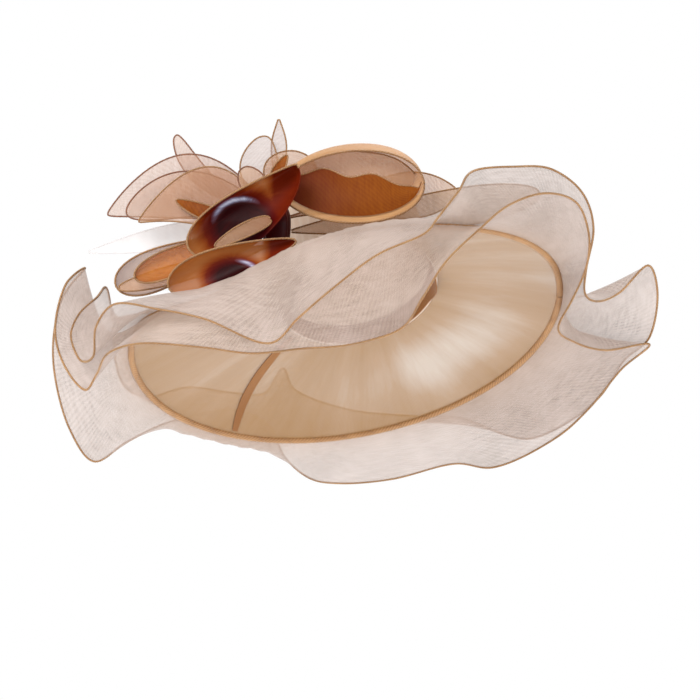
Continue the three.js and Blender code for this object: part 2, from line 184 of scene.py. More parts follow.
class Shading:
    # the nodes of one finish; its surface says how rough it is and how far that wanders, and how
    # it shines
    def __init__(self, name, surface):
        self.surface = surface
        self.material = bpy.data.materials.new(name)
        self.material.use_nodes = True
        self.tree = self.material.node_tree
        self.shader = self.tree.nodes["Principled BSDF"]
        self.shader.inputs["Roughness"].default_value = surface["roughness"]
        self.shader.inputs["Sheen Weight"].default_value = surface["sheen"]
        self.shader.inputs["Sheen Roughness"].default_value = sheenRoughness
        self.shader.inputs["Specular IOR Level"].default_value = surface["specular"]
        self.shader.inputs["Anisotropic"].default_value = surface["anisotropic"]

    def node(self, kind, **settings):
        made = self.tree.nodes.new(kind)
        for key, value in settings.items():
            setattr(made, key, value)
        return made

    def feed(self, value, socket):
        if isinstance(value, bpy.types.NodeSocket):
            self.tree.links.new(value, socket)
        else:
            socket.default_value = value

    def maths(self, operation, *values, clamp=False):
        made = self.node("ShaderNodeMath", operation=operation, use_clamp=clamp)
        for value, socket in zip(values, made.inputs):
            self.feed(value, socket)
        return made.outputs[0]

    def total(self, parts, start=0.0, clamp=False):
        # parts are (value, weight) pairs, added to start
        for count, (value, weight) in enumerate(parts, 1):
            start = self.maths("MULTIPLY_ADD", value, weight, start, clamp=clamp and count == len(parts))
        return start

    def uv(self):
        split = self.node("ShaderNodeSeparateXYZ")
        self.feed(self.node("ShaderNodeUVMap", uv_map="UVMap").outputs[0], split.inputs[0])
        return split.outputs[0], split.outputs[1]

    def attribute(self, name):
        return self.node("ShaderNodeAttribute", attribute_name=name).outputs["Fac"]

    def noise(self, scale, detail=3, vector=None):
        if vector is None:
            vector = self.node("ShaderNodeTexCoord").outputs["Object"]
        texture = self.node("ShaderNodeTexNoise")
        texture.inputs["Scale"].default_value = scale
        texture.inputs["Detail"].default_value = detail
        self.feed(vector, texture.inputs["Vector"])
        return texture.outputs["Fac"]

    def clothNoise(self, across, along):
        # blotches counted per metre across and along the cloth
        u, v = self.uv()
        stretched = self.node("ShaderNodeCombineXYZ")
        self.feed(self.maths("MULTIPLY", u, across), stretched.inputs[0])
        self.feed(self.maths("MULTIPLY", v, along), stretched.inputs[1])
        return self.noise(scale=1, detail=2, vector=stretched.outputs[0])

    def ripple(self, place, pitch):
        # a wave from 0 to 1 that repeats every pitch metres
        turn = self.maths("MULTIPLY", place, fullTurn / pitch)
        return self.maths("MULTIPLY_ADD", self.maths("SINE", turn), 0.5, 0.5)

    def spread(self, value, low, high):
        # 0 to 1 becomes low to high
        return self.maths("MULTIPLY_ADD", value, high - low, low)

    def ramp(self, value, stops):
        made = self.node("ShaderNodeValToRGB")
        self.feed(value, made.inputs[0])
        bar = made.color_ramp.elements
        while len(bar) < len(stops):
            bar.new(0.5)
        for element, (place, tint) in zip(bar, stops):
            element.position = place
            element.color = colour(*tint)
        return made.outputs[0]

    def blend(self, share, first, second, kind="MIX"):
        made = self.node("ShaderNodeMix", data_type="RGBA", blend_type=kind)
        self.feed(share, made.inputs[0])
        self.feed(first, made.inputs[6])
        self.feed(second, made.inputs[7])
        return made.outputs[2]

    def bump(self, height):
        made = self.node("ShaderNodeBump")
        made.inputs["Distance"].default_value = self.surface["relief"]
        made.inputs["Strength"].default_value = self.surface["reliefStrength"]
        self.feed(height, made.inputs["Height"])
        self.feed(made.outputs[0], self.shader.inputs["Normal"])

    def finish(self, tint, uneven, alpha=None, through=0):
        # the roughness wanders with uneven; the glow is painted, an emission in the cloth's own tint
        # that stands in for light coming through from behind
        rough, wander = self.surface["roughness"], self.surface["wander"]
        self.feed(tint, self.shader.inputs["Base Color"])
        self.feed(self.spread(uneven, rough - wander, rough + wander), self.shader.inputs["Roughness"])
        if through:
            self.feed(tint, self.shader.inputs["Emission Color"])
            self.shader.inputs["Emission Strength"].default_value = through
        if alpha is not None:
            self.feed(alpha, self.shader.inputs["Alpha"])
        return self.material


organza = {
    "roughness": 0.58, "wander": 0.08, "sheen": 0.03, "specular": 0.15, "anisotropic": 0,
    "thread": 0.0007, "hatch": 0.0034, "hatchSlant": 0.8, "hatchWander": 0.012, "wanderScale": 11,
    "streaks": (80, 560), "patchScale": 18, "hatchTone": 0.1, "streakTone": 0.4, "patchTone": 0.4,
    "darkAt": 0.3, "lightAt": 0.6, "rootTintPower": 1.6, "rootHidesPower": 3,
    "hidesMore": 0.05, "fineHides": -0.3, "threadsHide": 0.05, "rootHides": 0.14,
    "streakRelief": 2, "relief": 0.0001, "reliefStrength": 0.5,
}


def organzaCloth(name, dark, light, cover, rootTint, rootShare, through):
    # sheer cloth from its dark to its light tone; cover is how much each face of it hides, and
    # the root's tint comes in towards the gathered end
    look = Shading(name, organza)
    u, v = look.uv()
    threads = look.maths("MAXIMUM", look.ripple(u, organza["thread"]), look.ripple(v, organza["thread"]))
    slanted = look.maths("MULTIPLY_ADD", v, organza["hatchSlant"], u)
    wandering = look.total([(look.noise(organza["wanderScale"]), organza["hatchWander"])], slanted)
    hatch = look.ripple(wandering, organza["hatch"])
    streaks = look.clothNoise(*organza["streaks"])
    patches = look.noise(organza["patchScale"])
    fine = look.total([(streaks, organza["streakTone"]), (hatch, organza["hatchTone"])])
    tone = look.total([(patches, organza["patchTone"])], fine)
    tint = look.ramp(tone, [(organza["darkAt"], dark), (organza["lightAt"], light)])
    near = look.attribute("rootward")
    if rootTint is not None:
        tinted = look.maths("POWER", near, organza["rootTintPower"])
        tint = look.blend(look.maths("MULTIPLY", tinted, rootShare, clamp=True), tint, colour(*rootTint))
    gathered = look.maths("POWER", near, organza["rootHidesPower"])
    hides = look.total([
        (fine, organza["fineHides"]), (threads, organza["threadsHide"]), (gathered, organza["rootHides"]),
    ], cover + organza["hidesMore"], clamp=True)
    look.bump(look.total([(streaks, organza["streakRelief"])], threads))
    return look.finish(tint, patches, hides, through)


woven = {
    "wander": 0.1, "sheen": 0.1, "specular": 0.3, "anisotropic": 0,
    "patchScale": 7, "patchDetail": 1, "streaks": (34, 3.5), "fine": (240, 40),
    "patchTone": 0.55, "streakTone": 0.35, "fineTone": 0.1, "paintedLightTone": 0.4,
    "tintsAt": (0.36, 0.58, 0.86), "weaveTint": 0.1, "weaveHides": 0.06,
    "relief": 0.00015, "reliefStrength": 0.5,
}


def wovenCloth(name, tints, pitch, roughness, cover, through):
    # close plain weave with soft streaks along the cloth, paler where light is painted onto it
    look = Shading(name, {**woven, "roughness": roughness})
    u, v = look.uv()
    weave = look.maths("MULTIPLY", look.ripple(u, pitch), look.ripple(v, pitch))
    patches = look.noise(woven["patchScale"], woven["patchDetail"])
    streaks = look.clothNoise(*woven["streaks"])
    fine = look.clothNoise(*woven["fine"])
    tone = look.total([
        (patches, woven["patchTone"]), (streaks, woven["streakTone"]), (fine, woven["fineTone"]),
        # painted light makes the cloth paler where it lies
        (look.attribute("paintedLight"), woven["paintedLightTone"]),
    ])
    tint = look.ramp(tone, list(zip(woven["tintsAt"], tints)))
    tint = look.blend(look.maths("MULTIPLY", weave, woven["weaveTint"]), tint, colour(*tints[-1]))
    look.bump(look.maths("ADD", weave, fine))
    hides = None if cover is None else look.total([(weave, woven["weaveHides"])], cover, clamp=True)
    return look.finish(tint, fine, hides, through)


wrapped = {
    "roughness": 0.43, "wander": 0.11, "sheen": 0.2, "specular": 0.5, "anisotropic": 0.3,
    "slant": 0.6, "patchScale": 45, "patchTone": 0.6, "strandTone": 0.4, "darkAt": 0.25,
    "lightAt": 0.8, "relief": 0.0003, "reliefStrength": 0.7,
}


def threadWrap(name, dark, light, pitch):
    # wrapped or twisted thread, with light and shade painted along its strands
    look = Shading(name, wrapped)
    u, v = look.uv()
    strands = look.ripple(look.maths("MULTIPLY_ADD", v, wrapped["slant"], u), pitch)
    patches = look.noise(wrapped["patchScale"])
    tone = look.total([(strands, wrapped["strandTone"]), (patches, wrapped["patchTone"])])
    tint = look.ramp(tone, [(wrapped["darkAt"], dark), (wrapped["lightAt"], light)])
    look.bump(strands)
    return look.finish(tint, strands)


satin = {
    "roughness": 0.41, "wander": 0.09, "sheen": 0, "specular": 0.1, "anisotropic": 0.3,
    "streaks": (220, 30), "patchScale": 30, "mottled": 0.2, "glint": (0.6, 1.3),
    "heart": [
        (0.0, (172, 104, 50)), (0.3, (142, 68, 22)), (0.5, (104, 28, 5)), (0.72, (78, 6, 3)),
        (1.0, (40, 2, 4)),
    ],
    # crest: tones of a painted pale blue highlight, its strength spread by glint
    "crest": [(0.25, (0, 0, 0)), (0.55, (64, 66, 80)), (0.8, (116, 130, 156)), (1.0, (176, 190, 210))],
    # the satin's glow is painted, in its own tint
    "cover": 0.74, "foldHides": 0.7, "through": 0.12, "relief": 0.0003, "reliefStrength": 0.4,
}


def foldedSatin():
    # shot satin: orange-brown where it lies open, near-black red in its heart, and a painted pale blue
    # highlight along the crest of each fold
    look = Shading("foldedSatin", satin)
    streaks = look.clothNoise(*satin["streaks"])
    patches = look.noise(satin["patchScale"])
    heart = look.total([
        (look.attribute("heart"), 1), (patches, satin["mottled"]), (streaks, satin["mottled"]),
    ], -satin["mottled"])
    # a highlight painted along each fold's crest
    crest = look.maths("MULTIPLY", look.attribute("crest"), look.spread(streaks, *satin["glint"]))
    tint = look.blend(1.0, look.ramp(heart, satin["heart"]), look.ramp(crest, satin["crest"]), "ADD")
    look.bump(streaks)
    folded = look.maths("MAXIMUM", heart, crest)
    hides = look.total([(folded, satin["foldHides"])], satin["cover"], clamp=True)
    return look.finish(tint, streaks, hides, satin["through"])


# Organzas: dark and light tone, cover, the root's tint and its share, and a painted glow for the light
# through the cloth
organzas = {
    "frill": [(160, 144, 134), (195, 180, 172), 0.45, (184, 152, 122), 0.3, 0.25],
    "pale": [(168, 142, 118), (196, 172, 150), 0.42, (150, 100, 58), 0.5, 0.25],
    "tan": [(170, 130, 98), (200, 164, 134), 0.43, (134, 70, 36), 0.6, 0.25],
    "rose": [(166, 124, 94), (194, 154, 124), 0.42, (130, 62, 30), 0.55, 0.25],
    "band": [(180, 130, 80), (210, 166, 118), 0.48, None, 0, 0.25],
    "orange": [(126, 60, 2), (160, 88, 14), 0.85, (84, 14, 3), 1.25, 0.12],
    "amber": [(178, 100, 30), (212, 138, 58), 0.56, (112, 40, 8), 0.6, 0.25],
    "pink": [(174, 142, 122), (198, 168, 148), 0.34, (136, 72, 42), 0.6, 0.25],
    "blush": [(162, 142, 134), (186, 166, 158), 0.32, (170, 130, 100), 0.4, 0.25],
    "white": [(212, 209, 209), (230, 228, 228), 0.5, None, 0, 0.25],
}
# Woven cloths: three tones, the weave's pitch, roughness, cover, and a painted glow for the light through
# the cloth
wovens = {
    "brim": ["brimCloth", ((158, 118, 66), (172, 139, 104), (200, 185, 171)), 0.0011, 0.6, 0.66, 0.1],
    # the crown's strong painted glow lightens its shaded inside
    "crown": ["crownCloth", ((184, 164, 146), (194, 176, 160), (206, 192, 178)), 0.0011, 0.6, None, 0.45],
    "ribbon": ["goldRibbon", ((126, 78, 34), (142, 94, 46), (164, 114, 62)), 0.0009, 0.42, None, 0.1],
}
# Threads: dark and light tone, and the pitch of their strands
threads = {
    "hem": ["hemThread", (146, 100, 54), (196, 152, 104), 0.0016],
    "gold": ["goldThread", (128, 84, 44), (182, 138, 90), 0.0016],
    "auburn": ["auburnThread", (104, 58, 34), (152, 98, 66), 0.0016],
    "binding": ["goldBinding", (148, 102, 58), (192, 146, 96), 0.0022],
}
finishes = {key: organzaCloth(key + "Organza", *row) for key, row in organzas.items()}
finishes.update({key: wovenCloth(*row) for key, row in wovens.items()})
finishes.update({key: threadWrap(*row) for key, row in threads.items()})
finishes["satin"] = foldedSatin()
print("materials are made")


# Meshes for cloth. Each surface is a function of u, across or round the cloth, and of v, along
# it, and both run from 0 to 1.

sheetRules = {
    "step": 1e-3, "creaseDeg": 60, "sizeCells": 160, "sizeRows": 24, "leastSide": 0.01, "leastShare": 0.31,
}


def gridOf(cells, rows, ring):
    across = cells if ring else cells + 1
    return np.meshgrid(np.arange(across) / cells, np.arange(rows + 1) / rows)


def normalOf(place, u, v, ring):
    step = sheetRules["step"]

    def held(a):
        return np.clip(a, 0, 1)

    def turned(a):
        return a % 1 if ring else held(a)

    alongU = place(turned(u + step), v) - place(turned(u - step), v)
    alongV = place(u, held(v + step)) - place(u, held(v - step))
    normal = np.cross(alongU, alongV)
    return normal / np.maximum(np.linalg.norm(normal, axis=-1, keepdims=True), 1e-12)


def raised(place, relief, ring=False):
    # the same surface, moved along its own normal by relief, a height or a function of u and v
    def surface(u, v):
        height = relief(u, v) if callable(relief) else np.full_like(u, relief)
        return place(u, v) + normalOf(place, u, v, ring) * height[..., None]

    return surface


def runs(middle, axis):
    # the length of each line of a grid of points that runs along one axis
    return np.linalg.norm(np.diff(middle, axis=axis), axis=-1).sum(axis=axis)


def rootward(u, v):
    return 1 - v


def clothMesh(name, points, faces, uv, marks, finish):
    # marks are attributes of the points, which the finish reads
    mesh = bpy.data.meshes.new(name)
    mesh.from_pydata(np.vstack(points).tolist(), [], faces)
    mesh.uv_layers.new(name="UVMap").data.foreach_set("uv", uv.ravel())
    mesh.polygons.foreach_set("use_smooth", [True] * len(faces))
    for label, values in marks.items():
        attribute = mesh.attributes.new(label, "FLOAT", "POINT")
        attribute.data.foreach_set("value", values.astype(np.float32))
    mesh.materials.append(finishes[finish])
    return mesh


def sheetSkin(middle, normal, offset, capped):
    # one face of a sheet, whose last row is one point where it is capped
    skin = (middle + normal * offset).reshape(-1, 3)
    if not capped:
        return skin
    facing = normal[-2].mean(axis=0)
    tip = middle[-1].mean(axis=0) + facing / np.linalg.norm(facing) * offset
    return np.vstack([skin[:-middle.shape[1]], tip])


def sheetFaces(cells, rows, ring, capped):
    # the faces of two skins joined at their rims, and their corners counted in cells
    across = cells if ring else cells + 1
    ringCount = rows if capped else rows + 1
    size = across * ringCount + (1 if capped else 0)
    faces, corners = [], []

    def add(cellCorners, shift, flip):
        # cellCorners are (i, j) pairs, with i not wrapped, so that the uv runs on past the join
        order = [cellCorners[0], *cellCorners[:0:-1]] if flip else cellCorners
        faces.append([j * across + i % across + shift for i, j in order])
        corners.extend(order)

    def rim(first, second):
        near = [j * across + i % across for i, j in (first, second)]
        faces.append([near[1], near[0], near[0] + size, near[1] + size])
        corners.extend([second, first, first, second])

    for j in range(ringCount - 1):
        for i in range(cells):
            cell = [(i, j), (i + 1, j), (i + 1, j + 1), (i, j + 1)]
            add(cell, 0, False)
            add(cell, size, True)
    for i in range(cells):
        rim((i, 0), (i + 1, 0))
        if not capped:
            rim((i + 1, rows), (i, rows))
        else:
            tip = size - 1
            low, high, top = (i, rows - 1), (i + 1, rows - 1), (i + 0.5, rows)
            a, b = ((rows - 1) * across + k % across for k in (i, i + 1))
            faces.append([a, b, tip])
            faces.append([b + size, a + size, tip + size])
            corners.extend([low, high, top, high, low, top])
    if not ring:
        for j in range(ringCount - 1):
            rim((0, j + 1), (0, j))
            rim((cells, j), (cells, j + 1))
    return faces, corners


def sheetMesh(name, place, cells, rows, wall, finish, ring=False, capped=False, marks=None):
    # a closed thin sheet round its middle surface, with its uv in metres of cloth. Each mark is
    # a function of u and v.
    u, v = gridOf(cells, rows, ring)
    middle, normal = place(u, v), normalOf(place, u, v, ring)
    skins = [sheetSkin(middle, normal, offset, capped) for offset in (wall / 2, -wall / 2)]
    faces, corners = sheetFaces(cells, rows, ring, capped)
    ringCount = rows if capped else rows + 1
    values = {}
    for label, mark in {"rootward": rootward, **(marks or {})}.items():
        skinValues = mark(u[:ringCount], v[:ringCount]).ravel()
        if capped:
            skinValues = np.append(skinValues, mark(np.zeros(1), np.ones(1)))
        values[label] = np.tile(skinValues, 2)
    uv = np.array(corners, float) * (runs(middle, 1).mean() / cells, runs(middle, 0).mean() / rows)
    mesh = clothMesh(name, skins, faces, uv, values, finish)
    mesh.set_sharp_from_angle(angle=math.radians(sheetRules["creaseDeg"]))
    mesh.validate()
    return addObject(name, mesh)


def sheetSize(place, ring, pouch):
    # the cloth's longest run round or across it, its longest run along it, and its area; a
    # pouch is cut as an oval, which runs from rim to rim through its back
    cells, rows = sheetRules["sizeCells"], sheetRules["sizeRows"]
    middle = place(*gridOf(cells, rows, ring))
    if ring:
        middle = np.concatenate([middle, middle[:, :1]], axis=1)
    rimToBack = runs(middle, 0)
    acrossCloth, alongCloth = runs(middle, 1).max(), rimToBack.max()
    a, b, c, d = middle[:-1, :-1], middle[:-1, 1:], middle[1:, 1:], middle[1:, :-1]
    area = np.linalg.norm(np.cross(c - a, d - b), axis=-1).sum() / 2
    if pouch:
        rimToRim = rimToBack[:cells // 2] + rimToBack[cells // 2:cells]
        acrossCloth, alongCloth = rimToRim[0], rimToRim[cells // 4]
    return acrossCloth, alongCloth, area


def declareSheet(piece, place, held, ring=False, pouch=False):
    *sides, area = sheetSize(place, ring, pouch)
    width, length = (round(max(side, sheetRules["leastSide"]), 3) for side in sides)
    area = round(min(max(area, sheetRules["leastShare"] * width * length), width * length), 5)
    print(f"  {piece.name}: cut {width} by {length} m, {area} square metres, {held}")


def roundLine(place, v, count, low=0, high=1):
    # a line round the cloth at v, as its points and whether it closes
    closed = high - low == 1
    u = np.linspace(low, high, count, endpoint=not closed) % 1
    return place(u, np.full(count, float(v))), closed


def upLine(place, u, v):
    return place(np.full_like(v, u), v)


# Geometry Nodes for what follows a path

def newTree(name, inputs):
    # gives the tree, a function that adds a node to it, and the sockets of its inputs
    tree = bpy.data.node_groups.new(name, "GeometryNodeTree")
    tree.interface.new_socket("Geometry", in_out="INPUT", socket_type="NodeSocketGeometry")
    for label, value in inputs.items():
        kind = "NodeSocketInt" if isinstance(value, int) else "NodeSocketFloat"
        tree.interface.new_socket(label, in_out="INPUT", socket_type=kind).default_value = value
    tree.interface.new_socket("Material", in_out="INPUT", socket_type="NodeSocketMaterial")
    tree.interface.new_socket("Geometry", in_out="OUTPUT", socket_type="NodeSocketGeometry")

    def node(kind, values=None, **settings):
        made = tree.nodes.new(kind)
        for key, value in settings.items():
            setattr(made, key, value)
        for key, value in (values or {}).items():
            if isinstance(value, bpy.types.NodeSocket):
                tree.links.new(value, made.inputs[key])
            else:
                made.inputs[key].default_value = value
        return made

    return tree, node, node("NodeGroupInput").outputs


def endTree(node, geometry, material):
    real = node("GeometryNodeRealizeInstances", {"Geometry": geometry}).outputs["Geometry"]
    painted = node("GeometryNodeSetMaterial", {"Geometry": real, "Material": material})
    node("NodeGroupOutput", {"Geometry": painted.outputs["Geometry"]})


def makeCordTree():
    # a twisted cord along a line of edges: strands in relief, turned about the line
    tree, node, given = newTree("twistedCord", {
        "Radius": 0.0015, "Step": 0.0015, "Pitch": 0.009, "Strands": 3, "Relief": 0.2,
    })

    def maths(operation, first, second):
        return node("ShaderNodeMath", {0: first, 1: second}, operation=operation).outputs[0]

    def measured(curve, label):
        # the curve, and the length along it, which goes into the uv
        kept = node("GeometryNodeCaptureAttribute")
        kept.capture_items.new("FLOAT", label)
        tree.links.new(curve, kept.inputs[0])
        tree.links.new(node("GeometryNodeSplineParameter").outputs["Length"], kept.inputs[1])
        return kept.outputs[0], kept.outputs[1]

    line = node("GeometryNodeMeshToCurve", {"Mesh": given["Geometry"]}).outputs["Curve"]
    evenly = node("GeometryNodeResampleCurve", {"Curve": line, "Length": given["Step"]}, mode="LENGTH")
    length = node("GeometryNodeSplineParameter").outputs["Length"]
    tilt = maths("DIVIDE", maths("MULTIPLY", length, fullTurn), given["Pitch"])
    turned = node("GeometryNodeSetCurveTilt", {"Curve": evenly.outputs["Curve"], "Tilt": tilt})
    path, along = measured(turned.outputs["Curve"], "Along")
    star = node("GeometryNodeCurveStar", {
        "Points": given["Strands"],
        "Inner Radius": maths("MULTIPLY", maths("SUBTRACT", 1.0, given["Relief"]), given["Radius"]),
        "Outer Radius": given["Radius"],
    })
    profile, around = measured(star.outputs["Curve"], "Round")
    skin = node("GeometryNodeCurveToMesh", {"Curve": path, "Profile Curve": profile, "Fill Caps": True})
    place = node("ShaderNodeCombineXYZ", {"X": along, "Y": around})
    uv = node(
        "GeometryNodeStoreNamedAttribute",
        {"Geometry": skin.outputs["Mesh"], "Name": "UVMap", "Value": place.outputs[0]},
        data_type="FLOAT2", domain="CORNER",
    )
    smooth = node("GeometryNodeSetShadeSmooth", {"Geometry": uv.outputs["Geometry"]})
    endTree(node, smooth.outputs["Geometry"], given["Material"])
    return tree


def makeStitchTree():
    # short stitches laid end to end along a line of edges
    tree, node, given = newTree("stitchRow", {"Spacing": 0.004, "Length": 0.003, "Thickness": 0.0007})
    line = node("GeometryNodeMeshToCurve", {"Mesh": given["Geometry"]}).outputs["Curve"]
    spots = node("GeometryNodeCurveToPoints", {"Curve": line, "Length": given["Spacing"]}, mode="LENGTH")
    bead = node("GeometryNodeMeshUVSphere", {"Segments": 6, "Rings": 4, "Radius": 0.5})
    smooth = node("GeometryNodeSetShadeSmooth", {"Geometry": bead.outputs["Mesh"]})
    thick = given["Thickness"]
    size = node("ShaderNodeCombineXYZ", {"X": thick, "Y": thick, "Z": given["Length"]})
    laid = node("GeometryNodeInstanceOnPoints", {
        "Points": spots.outputs["Points"],
        "Instance": smooth.outputs["Geometry"],
        "Rotation": spots.outputs["Rotation"],
        "Scale": size.outputs[0],
    })
    endTree(node, laid.outputs["Instances"], given["Material"])
    return tree


cordTree = makeCordTree()
stitchTree = makeStitchTree()


def alongPaths(name, paths, tree, finish, **inputs):
    # paths are (points, closed) pairs; the tree's result becomes one plain mesh
    verts, edges = [], []
    for points, closed in paths:
        first = len(verts)
        verts += points.tolist()
        edges += [(first + k, first + k + 1) for k in range(len(points) - 1)]
        if closed:
            edges.append((len(verts) - 1, first))
    line = bpy.data.meshes.new(name + "Line")
    line.from_pydata(verts, edges, [])
    holder = addObject(name + "Line", line)
    modifier = holder.modifiers.new("path", "NODES")
    modifier.node_group = tree
    sockets = {
        item.name: item.identifier
        for item in tree.interface.items_tree
        if item.item_type == "SOCKET" and item.in_out == "INPUT"
    }
    modifier[sockets["Material"]] = finishes[finish]
    for label, value in inputs.items():
        modifier[sockets[label]] = value
    graph = bpy.context.evaluated_depsgraph_get()
    mesh = bpy.data.meshes.new_from_object(holder.evaluated_get(graph))
    holder.modifiers.remove(modifier)
    bpy.data.objects.remove(holder)
    mesh.name = name
    mesh.materials.clear()
    mesh.materials.append(finishes[finish])
    return addObject(name, mesh)


def keep(piece, slot, *stoodFor):
    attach(piece, "root")
    if stoodFor:
        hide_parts(*stoodFor)


# Crown and head band

crown = {
    "halfWidth": 81, "halfLength": 96, "height": 105, "wall": 1.6, "cells": 324, "rows": 30,
    "topScale": 0.93, "shoulder": 0.62, "shoulderShare": 0.66, "gatherDepth": 0.7, "gatherEnd": 0.9,
    "gatherFade": 0.7, "gathers": {"count": 54, "sway": 2.2, "sways": 5, "slant": 1.5},
}
headBand = {
    "inset": 1.9, "height": 20, "wall": 1.1, "taper": 0.001, "cells": 180, "rows": 6,
    "dip": 10, "dipDeg": 2, "dipSpread": 14, "stitchRows": (0.12, 0.9), "stitchesProud": 0.05,
    "stitches": {"Spacing": 0.0042, "Length": 0.003, "Thickness": 0.0006},
}


def crownPoint(u, v):
    turn = fullTurn * u
    side = np.minimum(v / crown["shoulder"], 1)
    over = np.maximum((v - crown["shoulder"]) / (1 - crown["shoulder"]), 0) * math.pi / 2
    shoulderHeight = crown["height"] * crown["shoulderShare"]
    scale = (1 - (1 - crown["topScale"]) * side) * np.cos(over)
    rise = shoulderHeight * side + (crown["height"] - shoulderHeight) * np.sin(over)
    x = crown["halfWidth"] * scale * np.cos(turn)
    y = crown["halfLength"] * scale * np.sin(turn)
    return leant(np.stack([x, y, rise], -1))


def crownGathers(u, v):
    # soft gathers down the side that fade out over the top
    fade = hump(v / crown["gatherEnd"], crown["gatherFade"])
    return crown["gatherDepth"] * mm * fade * folds(u, v, **crown["gathers"])


def headBandPoint(u, v):
    turn = fullTurn * u
    dip = headBand["dip"] * bell(degreesFrom(headBand["dipDeg"], u * 360), headBand["dipSpread"])
    height = -dip * (1 - v) + headBand["height"] * v
    taper = 1 - headBand["taper"] * np.maximum(height, 0)
    x = (crown["halfWidth"] - headBand["inset"]) * taper * np.cos(turn)
    y = (crown["halfLength"] - headBand["inset"]) * taper * np.sin(turn)
    return leant(np.stack([x, y, height], -1))


def makeCrown():
    shell = raised(crownPoint, crownGathers, ring=True)
    piece = sheetMesh(
        "crownShell", shell, crown["cells"], crown["rows"], crown["wall"] * mm, "crown",
        ring=True, capped=True,
    )
    keep(piece, "brim_cloth", "crown")
    declareSheet(piece, crownPoint, "stretched", ring=True)


def makeHeadBand():
    # its stitches lie on the face towards the head
    cells, wall = headBand["cells"], headBand["wall"]
    piece = sheetMesh("headRibbon", headBandPoint, cells, headBand["rows"], wall * mm, "ribbon", ring=True)
    keep(piece, "gold_satin", "head_band")
    inside = raised(headBandPoint, -(wall / 2 + headBand["stitchesProud"]) * mm, ring=True)
    rows = [roundLine(inside, v, 3 * cells) for v in headBand["stitchRows"]]
    stitches = alongPaths("headRibbonStitches", rows, stitchTree, "gold", **headBand["stitches"])
    keep(stitches, "gold_satin")
    declareSheet(piece, headBandPoint, "laid", ring=True)


makeCrown()
makeHeadBand()
print("crown and head ribbon are made")


# Brim, bound wire and seam

hoop = {
    "radius": 216, "centreX": -17, "drop": 37, "frontDroop": 34, "frontPower": 1.7,
    "leftDroop": 30, "leftDroopDeg": 231, "leftDroopSpread": 24, "binding": 3.5, "points": 900,
    "wraps": {"Step": 0.0015, "Pitch": 0.03, "Strands": 7, "Relief": 0.07},
}
brim = {
    "wall": 1.2, "cells": 300, "rows": 16, "crest": 3, "inset": 0.9, "outerGap": 3.0, "seatGap": 1,
    "fold": 1.5, "foldFade": 0.8, "broadShare": 0.7, "broad": {"count": 17, "sway": 1.8, "sways": 3},
    # narrow folds, then where the painted light lies on the underside
    "narrow": {"count": 37, "slant": 2}, "paintedLightDeg": 47, "paintedLightSpread": 42, "paintedLightFade": 1.5,
}
seam = {
    "wall": 0.8, "cells": 10, "rows": 60, "widest": 11, "narrow": 6, "innerDeg": 141, "outerDeg": 124,
    "below": 1.8, "start": 0.03, "end": 0.97, "startReach": 95, "endReach": 210,
    "stitchSides": (0.14, 0.86), "stitchEnds": (0.02, 0.98), "stitchesProud": 0.1,
    "stitches": {"Spacing": 0.0036, "Length": 0.0026, "Thickness": 0.0006},
}


def hoopPoint(turn, outward=0.0, up=0.0):
    front = np.maximum(0, -np.sin(turn)) ** hoop["frontPower"]
    left = bell(degreesFrom(hoop["leftDroopDeg"], np.degrees(turn)), hoop["leftDroopSpread"])
    reach = hoop["radius"] + outward
    height = up - hoop["drop"] - hoop["frontDroop"] * front - hoop["leftDroop"] * left
    return np.stack([hoop["centreX"] + reach * np.cos(turn), reach * np.sin(turn), height], -1)


def brimFold(u, v):
    # broad soft folds that run out from the head opening, with narrow ones over them
    share = brim["broadShare"]
    waves = share * folds(u, v, **brim["broad"]) + (1 - share) * folds(u, v, **brim["narrow"])
    return brim["fold"] * hump(v, brim["foldFade"]) * waves


def brimPoint(u, v, below=0.0):
    turn = fullTurn * u
    inner = np.stack([
        (crown["halfWidth"] + brim["inset"]) * np.cos(turn),
        (crown["halfLength"] + brim["inset"]) * np.sin(turn),
        np.zeros_like(turn),
    ], -1)
    outer = hoopPoint(turn, -brim["outerGap"], brim["seatGap"])
    share = v[..., None]
    point = inner * (1 - share) + outer * share
    point[..., 2] += brim["crest"] * np.sin(math.pi * v) - below + brimFold(u, v)
    return leant(point)


def seamPoint(u, v):
    along = seam["start"] + (seam["end"] - seam["start"]) * v
    middleDeg = seam["innerDeg"] + (seam["outerDeg"] - seam["innerDeg"]) * v
    width = seam["narrow"] + (seam["widest"] - seam["narrow"]) * hump(v)
    reach = seam["startReach"] + (seam["endReach"] - seam["startReach"]) * along
    return brimPoint((middleDeg + np.degrees((u - 0.5) * width / reach)) / 360, along, seam["below"])


def brimPaintedLight(u, v):
    # painted light: the underside is painted paler at the back right, where light falls on it
    return bell(degreesFrom(brim["paintedLightDeg"], u * 360), brim["paintedLightSpread"]) * hump(v, brim["paintedLightFade"])


def makeBrim():
    piece = sheetMesh(
        "brimCloth", brimPoint, brim["cells"], brim["rows"], brim["wall"] * mm, "brim", ring=True,
        marks={"paintedLight": brimPaintedLight},
    )
    keep(piece, "brim_cloth", "brim")
    return piece


def makeBinding():
    turn = np.linspace(0, fullTurn, hoop["points"], endpoint=False)
    ring = alongPaths(
        "brimBinding", [(leant(hoopPoint(turn)), True)], cordTree, "binding",
        Radius=hoop["binding"] * mm, **hoop["wraps"],
    )
    keep(ring, "gold_satin", "brim_binding")
    return ring


